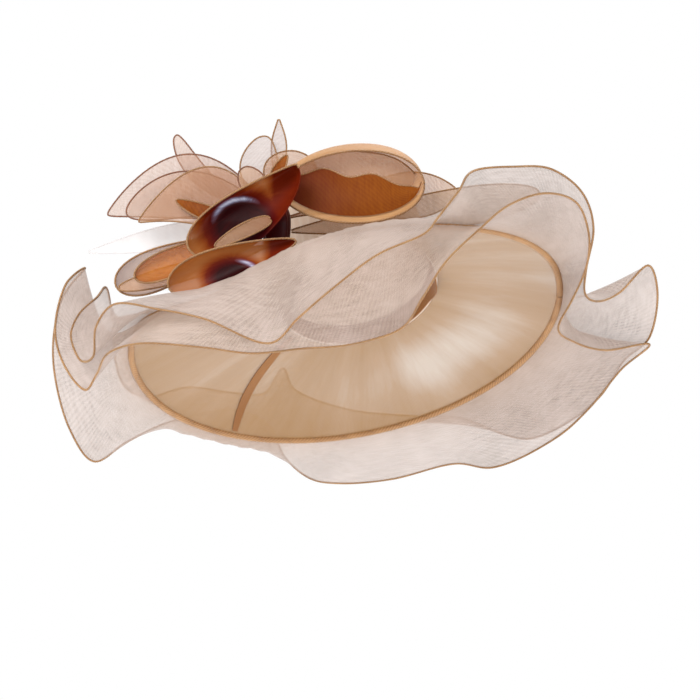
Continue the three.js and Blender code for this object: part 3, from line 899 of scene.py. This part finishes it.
def makeSeam():
    # its stitches lie on the face that looks down
    piece = sheetMesh("brimSeam", seamPoint, seam["cells"], seam["rows"], seam["wall"] * mm, "ribbon")
    keep(piece, "gold_satin", "brim_seam")
    under = raised(seamPoint, -(seam["wall"] / 2 + seam["stitchesProud"]) * mm)
    v = np.linspace(*seam["stitchEnds"], 2 * seam["rows"])
    rows = [(upLine(under, side, v), False) for side in seam["stitchSides"]]
    stitches = alongPaths("brimSeamStitches", rows, stitchTree, "gold", **seam["stitches"])
    keep(stitches, "gold_satin")
    declareSheet(piece, seamPoint, "laid")


brimPiece = makeBrim()
bindingPiece = makeBinding()
makeSeam()
declareSheet(brimPiece, brimPoint, "stretched", ring=True)
print("brim, binding and seam are made")


# Frills. The columns are the place on the hoop that a fold hangs from and the hem's own place
# round the hoop, in degrees from the right towards the back, the hem's reach and its height.

lowerHem = [
    [5, 1, 221, -92], [11, 9, 259, -84], [17, 12, 312, -70], [26, 20, 297, -71], [38, 32, 290, -81],
    [50, 43, 290, -85], [63, 60, 296, -76], [75, 67, 288, -60], [88, 81, 287, -57], [97, 92, 287, -51],
    [105, 98, 282, -45], [112, 103, 279, -19], [119, 106, 269, 13], [128, 115, 256, 23],
    [137, 128, 271, 11], [145, 149, 268, -53], [150, 153, 297, -72], [158, 162, 300, -55],
    [167, 173, 295, -17], [175, 182, 286, 5], [182, 189, 275, 20], [187, 193, 256, 35],
    [191, 196, 282, 6], [195, 194, 297, -44], [200, 192, 289, -79], [205, 193, 274, -107],
    [210, 197, 267, -102], [217, 208, 274, -111], [226, 217, 266, -125], [238, 226, 222, -139],
    [249, 234, 185, -147], [258, 249, 168, -154], [267, 263, 161, -159], [276, 281, 168, -153],
    [284, 284, 218, -152], [293, 288, 249, -133], [302, 297, 256, -96], [312, 307, 257, -57],
    [322, 319, 264, -29], [332, 330, 268, -22], [340, 337, 261, -42], [346, 342, 246, -60],
    [352, 344, 225, -84], [358, 348, 205, -100],
]
upperHem = [
    [0, -4, 248, -61], [4, 2, 278, -38], [8, 0, 311, -17], [11, 4, 319, -33], [15, 11, 312, -64],
    [24, 19, 299, -64], [36, 29, 294, -76], [47, 39, 288, -79], [57, 49, 284, -72], [66, 55, 279, -52],
    [76, 62, 264, -25], [88, 73, 254, -8], [98, 88, 257, 20], [107, 100, 242, 41], [113, 105, 208, 47],
    [119, 108, 243, 38], [126, 116, 245, 37], [135, 128, 251, 38], [145, 140, 259, 14],
    [153, 150, 256, 6], [161, 160, 244, 11], [172, 170, 231, 30], [183, 180, 229, 44],
    [194, 193, 250, -1], [199, 195, 272, -26], [205, 195, 283, -50], [208, 196, 279, -82],
    [214, 202, 276, -96], [220, 208, 283, -82], [228, 214, 279, -75], [236, 223, 260, -101],
    [245, 230, 232, -119], [254, 242, 194, -152], [262, 251, 194, -137], [271, 263, 234, -139],
    [280, 273, 260, -128], [289, 284, 261, -107], [297, 288, 257, -86], [304, 294, 256, -54],
    [311, 304, 234, -5], [319, 314, 247, 4], [327, 323, 262, 9], [335, 333, 270, -1],
    [342, 341, 264, -20], [348, 344, 246, -54], [354, 348, 238, -68],
]
frill = {
    "wall": 0.7, "seat": 3.7, "cellsPerFold": 12, "rows": 22, "hemRadius": 1.3,
    "hem": {"Step": 0.0013, "Pitch": 0.008, "Strands": 3, "Relief": 0.22},
    "gather": 0.8, "gathers": {"count": 168, "sway": 3, "sways": 7}, "gatherStart": 12, "gatherFade": 5,
    "ripples": {"count": 61, "sway": 4, "sways": 4, "slant": 2}, "rippleShare": 0.7,
}
lowerRoot = {"seatDeg": -12, "leaveDeg": -30, "falling": 0.02, "rising": 0.35}
upperRoot = {"seatDeg": 96, "leaveDeg": 10, "falling": 0.35, "rising": 0.12}


def between(f, start, end, leave, arrive):
    # a smooth step from start to end that leaves and arrives at the given rates
    third = 2 * (start - end) + leave + arrive
    return start + leave * f + (3 * (end - start) - 2 * leave - arrive) * f**2 + third * f**3


def hemCurve(rows):
    # a smooth closed line through the table's points, evenly rounded however far apart they are
    rows = np.array(rows, float)
    count = len(rows)
    turn, reach = np.radians(rows[:, 1]), rows[:, 2]
    hem = np.stack([hoop["centreX"] + reach * np.cos(turn), reach * np.sin(turn), rows[:, 3]], -1)

    def rootDeg(k):
        return rows[k % count, 0] + 360 * np.floor(k / count)

    def spacing(a, b):
        return np.maximum(((a - b) ** 2).sum(-1) ** 0.25, 1e-4)[..., None]

    def at(share):
        place = share * count
        k = np.floor(place).astype(int)
        f = place - k
        a, b, c, d = (rootDeg(k + offset) for offset in (-1, 0, 1, 2))
        degrees = between(f, b, c, (c - a) / 2, (d - b) / 2)
        p, q, r, s = (hem[(k + offset) % count] for offset in (-1, 0, 1, 2))
        gapA, gapB, gapC = spacing(p, q), spacing(q, r), spacing(r, s)
        leave = gapB * ((q - p) / gapA - (r - p) / (gapA + gapB) + (r - q) / gapB)
        arrive = gapB * ((r - q) / gapB - (s - q) / (gapB + gapC) + (s - r) / gapC)
        return np.radians(degrees), between(f[..., None], q, r, leave, arrive)

    return at


def frillSurface(rows, root):
    # from the wire to the hem, leaving the wire at the root's angle
    hem = hemCurve(rows)
    seatTurn, leave = math.radians(root["seatDeg"]), math.radians(root["leaveDeg"])
    outward, up = frill["seat"] * math.cos(seatTurn), frill["seat"] * math.sin(seatTurn)

    def place(u, v):
        turn, point = hem(u)
        start = hoopPoint(turn, outward, up)
        reach = np.linalg.norm(point - start, axis=-1)
        rising = (point[..., 2] - start[..., 2]) / reach / 2 + 0.5
        carry = ((root["falling"] + (root["rising"] - root["falling"]) * rising) * reach)[..., None]
        level = np.stack([np.cos(turn), np.sin(turn), np.zeros_like(turn)], -1)
        way = math.cos(leave) * level + np.array([0, 0, math.sin(leave)])
        v = v[..., None]
        return leant(start * (1 - v) ** 2 + (start + carry * way) * 2 * v * (1 - v) + point * v**2)

    return place


def frillGathers(u, v):
    # fine gathers where the frill is drawn onto the wire, and slow ripples further out
    fade = np.exp(-frill["gatherFade"] * v) * np.clip(v * frill["gatherStart"], 0, 1)
    fine = folds(u, v, **frill["gathers"]) * fade
    slow = folds(u, v, **frill["ripples"]) * hump(v)
    return frill["gather"] * mm * (fine + frill["rippleShare"] * slow)


def makeFrill(name, node, rows, root):
    smoothSurface = frillSurface(rows, root)
    surface = raised(smoothSurface, frillGathers, ring=True)
    cells = len(rows) * frill["cellsPerFold"]
    piece = sheetMesh(name, surface, cells, frill["rows"], frill["wall"] * mm, "frill", ring=True)
    keep(piece, "pale_organza", node)
    hem = alongPaths(
        name + "Hem", [roundLine(surface, 1, cells * 2)], cordTree, "hem",
        Radius=frill["hemRadius"] * mm, **frill["hem"],
    )
    keep(hem, "gold_satin")
    declareSheet(piece, smoothSurface, "gathered", ring=True)


makeFrill("lowerFrill", "frill_lower", lowerHem, lowerRoot)
makeFrill("upperFrill", "frill_upper", upperHem, upperRoot)
print("frills are made")


# Bow. Its own frame stands upright, with its origin in the middle of the gathered core.

bow = {
    "place": np.array([-78.5, -111, 66]), "lean": 0.42, "leanBelow": 0.14, "left": 0.0011, "right": 0.0002,
    "ripple": 2.5, "rippleLength": 19, "wall": 0.6, "edge": 0.95, "rimEdge": 1.2,
    "cord": {"Step": 0.0014, "Pitch": 0.007, "Strands": 3, "Relief": 0.2},
}
core = {
    "halfWidth": 14, "halfDepth": 30, "above": 23, "below": 42.6, "gap": 0.75, "squareness": 4,
    "folds": 9, "foldDepth": 1.1, "foldSway": 0.8, "cells": 96, "rows": 60, "wrap": 0.08,
    # the knot's near-black heart is partly painted shade; it is lighter above
    "heart": 0.95, "emberAbove": 4, "emberFade": 8, "emberHeart": 0.52,
}
petalForm = {
    "halfEnd": 1, "cells": 16, "leastRows": 24, "rowLength": 3.5, "ripple": 0.5,
    "broadWave": (9, 5), "fineWave": (17, -6), "fineShare": 0.5, "edgeRipple": 0.2,
}


def swept(point):
    # from the bow's own frame to the shared one: both ends sweep back and the top leans back
    x, y, z = point[..., 0], point[..., 1], point[..., 2]
    ends = np.where(x < 0, bow["left"], bow["right"]) * x * x
    wave = bow["ripple"] * np.sin(x / bow["rippleLength"]) * np.sin(z / bow["rippleLength"])
    moved = np.stack([x, y + np.where(z > 0, bow["lean"], bow["leanBelow"]) * z + ends + wave, z], -1)
    return (moved + bow["place"]) * mm


def coreGirth(share):
    return (1 - abs(share) ** core["squareness"]) ** (1 / core["squareness"])


def corePoint(degrees, depth, gap):
    turn = math.radians(degrees)
    girth = coreGirth(depth / core["halfDepth"])
    tall = core["above"] if math.sin(turn) > 0 else core["below"]
    x = (core["halfWidth"] * girth + gap) * math.cos(turn)
    return np.array([x, depth, (tall * girth + gap) * math.sin(turn)])


def petalSurface(row, root):
    axis = np.array(row["tip"], float) - root
    side = np.array([-axis[2], 0, axis[0]]) / math.hypot(axis[0], axis[2])
    halfEnd = petalForm["halfEnd"]

    def place(u, v):
        s = 2 * u - 1
        along = (1 - np.cos(math.pi * v)) / 2
        half = halfEnd + (row["width"] / 2 - halfEnd) * hump(along ** row["peak"], row["pointed"])
        bend = row["bend"] * 4 * along * (1 - along)
        point = root + axis * along[..., None] + side * (bend + s * half)[..., None]
        point[..., 1] -= row["cup"] * s * s * half * 2 / row["width"]
        return swept(point)

    return place


def petalRipple(phase):
    # broad and fine waves that fade towards both ends and both edges
    def wave(u, v, form, shift):
        return np.sin(form[0] * v + form[1] * u + shift)

    def relief(u, v):
        broad = wave(u, v, petalForm["broadWave"], phase) * np.sin(math.pi * u)
        fine = petalForm["fineShare"] * wave(u, v, petalForm["fineWave"], 2 * phase)
        fade = hump(v, 2) * np.clip(4 * u * (1 - u) + petalForm["edgeRipple"], 0, 1)
        return petalForm["ripple"] * mm * (broad + fine) * fade

    return relief


# Petals that grow from the knot's side: the root's angle round the knot and its depth, then the
# tip. Width, place of the widest part, sideways bend, curl and how pointed both ends are follow.
sidePetals = [
    {"name": "right_wide", "deg": 16, "depth": 20, "tip": [178, 25, 31], "width": 46, "peak": 2.1,
     "bend": 5, "cup": 2, "pointed": 0.75, "finish": "tan", "edge": "gold"},
    {"name": "base_long", "deg": -11, "depth": 15, "tip": [258, 20, 30], "width": 38, "peak": 1.7,
     "bend": -2, "cup": 1.6, "pointed": 0.5, "finish": "pale", "edge": "gold"},
    {"name": "tan_back", "deg": 70, "depth": 15, "tip": [24, 18, 70], "width": 54, "peak": 1.1,
     "bend": 2, "cup": 2, "pointed": 0.5, "finish": "tan", "edge": "gold"},
    {"name": "orange", "deg": 98, "depth": -16, "tip": [10, -16, 66], "width": 13, "peak": 1,
     "bend": 4, "cup": 2, "pointed": 0.8, "finish": "orange", "edge": "gold"},
    {"name": "tall", "deg": 106, "depth": 20.5, "tip": [-15, 23, 87], "width": 38, "peak": 1.1,
     "bend": 8, "cup": 2, "pointed": 0.5, "finish": "blush", "edge": "gold"},
    {"name": "tall_tip", "deg": 92, "depth": 24.5, "tip": [1, 27, 104], "width": 15, "peak": 1.6,
     "bend": -1, "cup": 1, "pointed": 1.2, "finish": "blush", "edge": "gold"},
    {"name": "small_upright", "deg": 122, "depth": 27.5, "tip": [-102, 32, 88], "width": 19,
     "peak": 2.2, "bend": 17, "cup": 1, "pointed": 0.5, "finish": "pink", "edge": "auburn"},
    {"name": "round", "deg": 124, "depth": -11, "tip": [-34, -10, 53], "width": 25, "peak": 1.2,
     "bend": 0, "cup": 2, "pointed": 0.5, "finish": "tan", "edge": "auburn"},
    {"name": "left_high", "deg": 145, "depth": 13, "tip": [-167, 16, 10], "width": 64, "peak": 0.9,
     "bend": -25, "cup": 3, "pointed": 0.8, "finish": "pink", "edge": "auburn"},
    {"name": "left_middle", "deg": 150, "depth": 6, "tip": [-148, 9, 12], "width": 46, "peak": 1.4,
     "bend": -17, "cup": 3, "pointed": 0.55, "finish": "pink", "edge": "auburn"},
    {"name": "left_low", "deg": 165, "depth": -1, "tip": [-135, 2, 2], "width": 60, "peak": 0.68,
     "bend": -22, "cup": 3, "pointed": 0.85, "finish": "rose", "edge": "gold"},
    {"name": "pointed", "deg": 186, "depth": -8, "tip": [-98, -6, 22], "width": 15, "peak": 1.3,
     "bend": 3, "cup": 2, "pointed": 0.7, "finish": "orange", "edge": "gold"},
    {"name": "white_spike", "deg": 184, "depth": 25, "tip": [-187, 35, -27], "width": 26,
     "peak": 0.8, "bend": -2, "cup": 1, "pointed": 0.9, "finish": "white", "edge": "white"},
    {"name": "low", "deg": 215, "depth": -17.7, "tip": [-153, -16, -64], "width": 18, "peak": 1.4,
     "bend": 2, "cup": 1, "pointed": 0.5, "finish": "tan", "edge": "gold"},
]
frontPetal = {
    "name": "front_tan", "root": [-5, -40, 2], "tip": [-58, -53.5, -25], "width": 14, "peak": 0.7,
    "bend": -1.5, "cup": 0.4, "pointed": 0.55, "finish": "tan", "edge": "gold", "phase": 22,
}
slotOf = {
    "pale": "pale_organza", "tan": "tan_organza", "rose": "tan_organza",
    "band": "orange_organza", "orange": "orange_organza", "amber": "orange_organza",
    "pink": "pink_organza", "blush": "pink_organza", "white": "white_organza", "satin": "dark_satin",
}


def edgeCord(name, line, closed, finish, thicker=1):
    cord = alongPaths(
        name + "_edge", [(line, closed)], cordTree, finish,
        Radius=bow["edge"] * thicker * mm, **bow["cord"],
    )
    keep(cord, "gold_satin")
    return cord


def makePetal(row, root, phase):
    smoothSurface = petalSurface(row, root)
    surface = raised(smoothSurface, petalRipple(phase))
    name = "petal_" + row["name"]
    length = np.linalg.norm(np.array(row["tip"]) - root)
    rows = int(max(petalForm["leastRows"], length / petalForm["rowLength"]))
    piece = sheetMesh(
        name + "_cloth", surface, petalForm["cells"], rows, bow["wall"] * mm, row["finish"]
    )
    keep(piece, slotOf[row["finish"]], name)
    v = np.linspace(0, 1, rows * 3)
    outline = np.concatenate([upLine(surface, 0, v), upLine(surface, 1, v[::-1])])
    edge = edgeCord(name, outline, False, row["edge"])
    declareSheet(piece, smoothSurface, "folded")


# Loops of ribbon, each a pouch that is open at the front: the middle's place across and up, the
# way that the loop points, its length and height, how much fuller its far end is, the height
# of its underside against its top, the depths of its rim and its back, how far the back is
# raised and how it closes. Where a loop has a heart, the satin darkens round that place, and a
# highlight is painted on the fold that rings it.
loops = [
    {"name": "right", "at": [74.1, 43], "way": 2.5, "length": 139, "height": 71, "fuller": 0.1,
     "under": 1, "depths": [-30.5, 12], "raise": 18, "closing": 0.35, "finish": "band"},
    {"name": "across", "at": [-31, 15], "way": 219, "length": 132, "height": 34, "fuller": 0.6,
     "under": 2.05, "underFuller": 0.15, "depths": [-52.6, -29.2], "raise": 3, "closing": 0.5,
     "finish": "satin", "cordTurns": (-0.16, 0.52),
     "heart": {"at": (-32, -4), "radii": (29, 26), "edge": 1.75, "fade": 0.95, "crestDeg": 116,
               "crestSpread": 58, "crestWidth": 0.12, "fold": 2.2, "emberFrom": -12}},
    {"name": "lower_left", "at": [-41, -40], "way": 200, "length": 130, "height": 37, "fuller": 0.45,
     "under": 0.85, "depths": [-66, -53.4], "raise": 4, "closing": 0.5, "finish": "satin",
     "heart": {"at": (-40, -54), "radii": (24, 16), "edge": 1.55, "fade": 0.9, "crestDeg": 40,
               "crestSpread": 46, "crestWidth": 0.16, "fold": 1.6, "emberFrom": -14}},
    {"name": "orange", "at": [-75.5, -28], "way": 202, "length": 132.5, "height": 22, "fuller": 0.8,
     "under": 1, "depths": [-29, -18.7], "raise": 2, "closing": 0.5, "finish": "amber"},
    {"name": "far_left", "at": [-85.6, -32], "way": 201, "length": 152, "height": 32, "fuller": 0.9,
     "under": 1, "depths": [-12, 18], "raise": 4, "closing": 0.4, "finish": "tan"},
]
loopForm = {"cells": 144, "rows": 30, "rimPoints": 360, "emberFade": 10, "crestStart": 5}
innerPetals = [
    {"name": "inner_low", "share": 0.25, "inset": 2.3, "level": 8, "slope": -11, "droop": 10,
     "wavy": 3, "finish": "orange"},
    {"name": "inner_high", "share": 0.62, "inset": 2.8, "level": 26, "slope": -8, "droop": 18,
     "wavy": 0, "finish": "tan"},
]
innerForm = {
    "belly": 4, "endWidth": 0.06, "lowest": -0.8, "highest": 0.94, "waveLength": 0.7, "waveStart": 0.4,
    "cells": 24, "rows": 60, "edgePoints": 200,
}


def loopSection(row, across, up, scale, share, inset=0):
    # a point of the loop's outline, shrunk by scale, at a share of the way from rim to back
    way = math.radians(row["way"])
    long = np.array([math.cos(way), 0, math.sin(way)])
    high = np.array([-math.sin(way), 0, math.cos(way)])
    high = high * math.copysign(1, high[2])
    front, back = row["depths"]
    fuller = np.where(up < 0, row.get("underFuller", row["fuller"]), row["fuller"])
    half = row["height"] / 2 * (1 + fuller * across) - inset
    tall = half * np.where(up < 0, row["under"], 1)
    out = (row["length"] / 2 - inset) * scale * across
    point = long * out[..., None] + high * (tall * scale * up)[..., None]
    point[..., 0] += row["at"][0]
    point[..., 1] += front + (back - front) * share
    point[..., 2] += row["at"][1] + row["raise"] * (share - 0.5)
    return point


def loopSurface(row):
    def place(u, v):
        turn = fullTurn * u
        scale = 1 - v * v
        share = np.sqrt(1 - scale ** (2 / row["closing"]))
        return swept(loopSection(row, np.cos(turn), np.sin(turn), scale, share))

    return place


def satinMarks(heart, place):
    # how far into the satin's dark heart a point lies, and where a highlight is painted along its fold
    def around(u, v):
        point = place(u, v) / mm - bow["place"]
        x, z = point[..., 0], point[..., 2]
        east, north = (x - heart["at"][0]) / heart["radii"][0], (z - heart["at"][1]) / heart["radii"][1]
        return x, np.hypot(east, north), np.degrees(np.arctan2(north, east))

    def depth(u, v):
        x, reach, _ = around(u, v)
        ember = core["emberHeart"] * np.clip((x - heart["emberFrom"]) / loopForm["emberFade"], 0, 1)
        return np.maximum(np.clip((heart["edge"] - reach) / heart["fade"], 0, 1), ember)

    def crest(u, v):
        _, reach, way = around(u, v)
        away = degreesFrom(heart["crestDeg"], way) / heart["crestSpread"]
        inside = np.clip(v * loopForm["crestStart"], 0, 1)
        return inside * bell(reach - 1, heart["crestWidth"]) * np.exp(-(away**4))

    return {"heart": depth, "crest": crest}


def makeLoop(row):
    smoothSurface = loopSurface(row)
    surface, marks = smoothSurface, None
    if "heart" in row:
        marks = satinMarks(row["heart"], smoothSurface)

        def surface(u, v):
            point = smoothSurface(u, v)
            point[..., 1] -= row["heart"]["fold"] * mm * marks["crest"](u, v)
            return point

    name = "loop_" + row["name"]
    piece = sheetMesh(
        name + "_cloth", surface, loopForm["cells"], loopForm["rows"], bow["wall"] * mm, row["finish"],
        ring=True, capped=True, marks=marks,
    )
    keep(piece, slotOf[row["finish"]], name)
    rim, closed = roundLine(surface, 0, loopForm["rimPoints"], *row.get("cordTurns", (0, 1)))
    edge = edgeCord(name, rim, closed, "gold", bow["rimEdge"])
    declareSheet(piece, smoothSurface, "folded", ring=True, pouch=True)


def innerSurface(row, loop):
    # a petal that stands inside a loop, from the loop's underside up to its own wavy line
    scale = (1 - row["share"] ** 2) ** (loop["closing"] / 2)

    def place(u, v):
        across = -np.cos(math.pi * v)
        up = np.maximum(np.sin(math.pi * v), innerForm["endWidth"])
        low, high = (
            loopSection(loop, across, side * up, scale, row["share"], row["inset"]) for side in (-1, 1)
        )
        wave = np.cos(fullTurn * (across + innerForm["waveStart"]) / innerForm["waveLength"])
        line = row["level"] + row["slope"] * across - row["droop"] * across**4 + row["wavy"] * wave
        height = 2 * line / np.linalg.norm(high - low, axis=-1)
        reach = (np.clip(height, innerForm["lowest"], innerForm["highest"]) + 1) / 2
        point = low + (high - low) * (u * reach)[..., None]
        point[..., 1] -= innerForm["belly"] * np.sin(math.pi * u) * np.sin(math.pi * v) ** 2
        return swept(point)

    return place


def makeInnerPetal(row, loop):
    surface = innerSurface(row, loop)
    name = "petal_" + row["name"]
    piece = sheetMesh(
        name + "_cloth", surface, innerForm["cells"], innerForm["rows"], bow["wall"] * mm, row["finish"]
    )
    keep(piece, slotOf[row["finish"]], name)
    topEdge = upLine(surface, 1, np.linspace(0, 1, innerForm["edgePoints"]))
    edge = edgeCord(name, topEdge, False, "gold")
    declareSheet(piece, surface, "folded")


def knotFaces(cells, rings):
    # rings joined by cells, a point to close each end, and the corners counted in cells
    faces, corners = [], []
    for j in range(rings - 1):
        for i in range(cells):
            cell = [(i, j), (i + 1, j), (i + 1, j + 1), (i, j + 1)]
            faces.append([b * cells + a % cells for a, b in cell])
            corners += cell
    front, back, lastRing = rings * cells, rings * cells + 1, (rings - 1) * cells
    for i in range(cells):
        after = (i + 1) % cells
        faces.append([front, after, i])
        faces.append([back, lastRing + i, lastRing + after])
        corners += [(i, 0)] * 3 + [(i, rings)] * 3
    return faces, corners


def makeKnot():
    # the gathered core, wrapped in satin whose folds run round it; its near-black is the satin's
    # own dark tone and painted shade too, where it fills the dark gap among the loops
    cells, rows = core["cells"], core["rows"]
    turn = np.linspace(0, fullTurn, cells, endpoint=False)
    spread = np.sin(math.pi * (np.linspace(0, 1, rows + 1)[1:-1] - 0.5))
    t, s = np.meshgrid(turn, spread)
    girth = coreGirth(s)
    waves = np.cos(core["folds"] * math.pi * s + core["foldSway"] * np.sin(2 * t)) - 1
    fold = core["foldDepth"] * waves / 2 * girth
    tall = np.where(np.sin(t) > 0, core["above"], core["below"])
    x = (core["halfWidth"] * girth + fold) * np.cos(t)
    z = (tall * girth + fold) * np.sin(t)
    ring = swept(np.stack([x, core["halfDepth"] * s, z], -1)).reshape(-1, 3)
    ends = swept(np.array([[0, -core["halfDepth"], 0], [0, core["halfDepth"], 0]], float))
    faces, corners = knotFaces(cells, rows - 1)
    uv = np.array(corners, float) / (cells, rows - 1) * core["wrap"]
    ember = np.clip((z - core["emberAbove"]) / core["emberFade"], 0, 1)
    heart = core["heart"] + (core["emberHeart"] - core["heart"]) * ember
    marks = {
        "heart": np.append(heart.ravel(), [core["heart"]] * 2),
        "crest": np.zeros(len(ring) + 2),
    }
    knot = addObject("bowKnot", clothMesh("bowKnot", [ring, ends], faces, uv, marks, "satin"))
    keep(knot, "dark_satin", "bow_core")


makeKnot()
for phase, row in enumerate(sidePetals):
    makePetal(row, corePoint(row["deg"], row["depth"], core["gap"]), phase)
makePetal(frontPetal, np.array(frontPetal["root"], float), frontPetal["phase"])
for row in loops:
    makeLoop(row)
for row in innerPetals:
    makeInnerPetal(row, loops[0])
print("bow is made")
